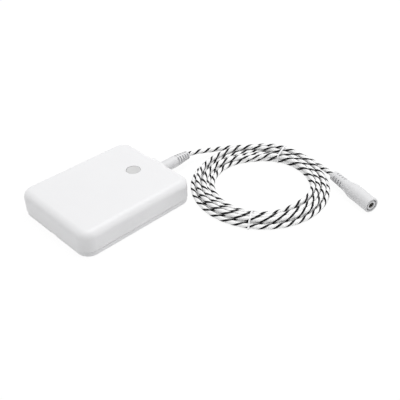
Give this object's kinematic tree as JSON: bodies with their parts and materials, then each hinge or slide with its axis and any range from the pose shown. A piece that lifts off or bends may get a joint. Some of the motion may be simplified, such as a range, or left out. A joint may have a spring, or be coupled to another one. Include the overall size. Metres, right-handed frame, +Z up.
{
  "type": "water leak sensor",
  "caption": "Flat battery powered leak sensor housing with a push button and a plug-in sensing rope, which lies in a tied coil and ends in an inline socket.",
  "frame": {"origin": "centre of the housing's bounding box at the surface that it stands on", "axes": "+X along the housing to the short side where the rope leaves, +Y to the left of it, +Z up"},
  "size_m": [0.1584, 0.1434, 0.0156],
  "materials": {
    "white_plastic": "satin moulded plastic with a fine grain",
    "grey_button": "satin light grey plastic",
    "white_vinyl": "soft moulded vinyl, satin",
    "rope_fibre": "white braided rope with black wound threads",
    "tie_white": "smooth white tie",
    "board_green": "green solder mask",
    "black_plastic": "black moulded plastic",
    "seal_rubber": "matt rubber",
    "nickel": "bright nickel plate",
    "steel": "satin steel",
    "cell_jacket": "plain film jacket"
  },
  "bodies": {
    "housing": {"top_cover": "white_plastic", "base_cover": "white_plastic", "base_seal": "seal_rubber", "switch_body": "black_plastic", "circuit_board": "board_green", "board_screw_1": "steel", "board_screw_2": "steel", "board_screw_3": "steel", "board_screw_4": "steel", "radio_board": "board_green", "radio_shield": "steel", "main_chip": "black_plastic", "battery_cell_1": "cell_jacket", "battery_cell_2": "cell_jacket", "battery_spring_1": "nickel", "battery_spring_2": "nickel", "battery_link": "nickel", "battery_clip_plus": "nickel", "battery_clip_minus": "nickel", "jack_body": "black_plastic", "jack_bush": "nickel", "jack_contact_1": "nickel", "jack_contact_2": "nickel", "plug_grip": "white_vinyl", "plug_pin": "nickel", "plug_insulator_1": "black_plastic", "plug_insulator_2": "black_plastic", "cord_lead": "rope_fibre", "cord_coil": "rope_fibre", "cord_tail": "rope_fibre", "cord_tie_1": "tie_white", "cord_tie_2": "tie_white", "socket_grip": "white_vinyl", "socket_insert": "white_vinyl", "socket_sleeve": "nickel", "socket_contact": "nickel"},
    "button": {"button_cap": "grey_button", "switch_plunger": "black_plastic"}
  },
  "joints": [
    {"name": "button_press", "type": "slide", "parent": "housing", "child": "button", "axis": [0, 0, -1], "range_m": [0, 0.0005], "stiffness_N_per_m": 2000, "springref_m": -0.0005}
  ]
}
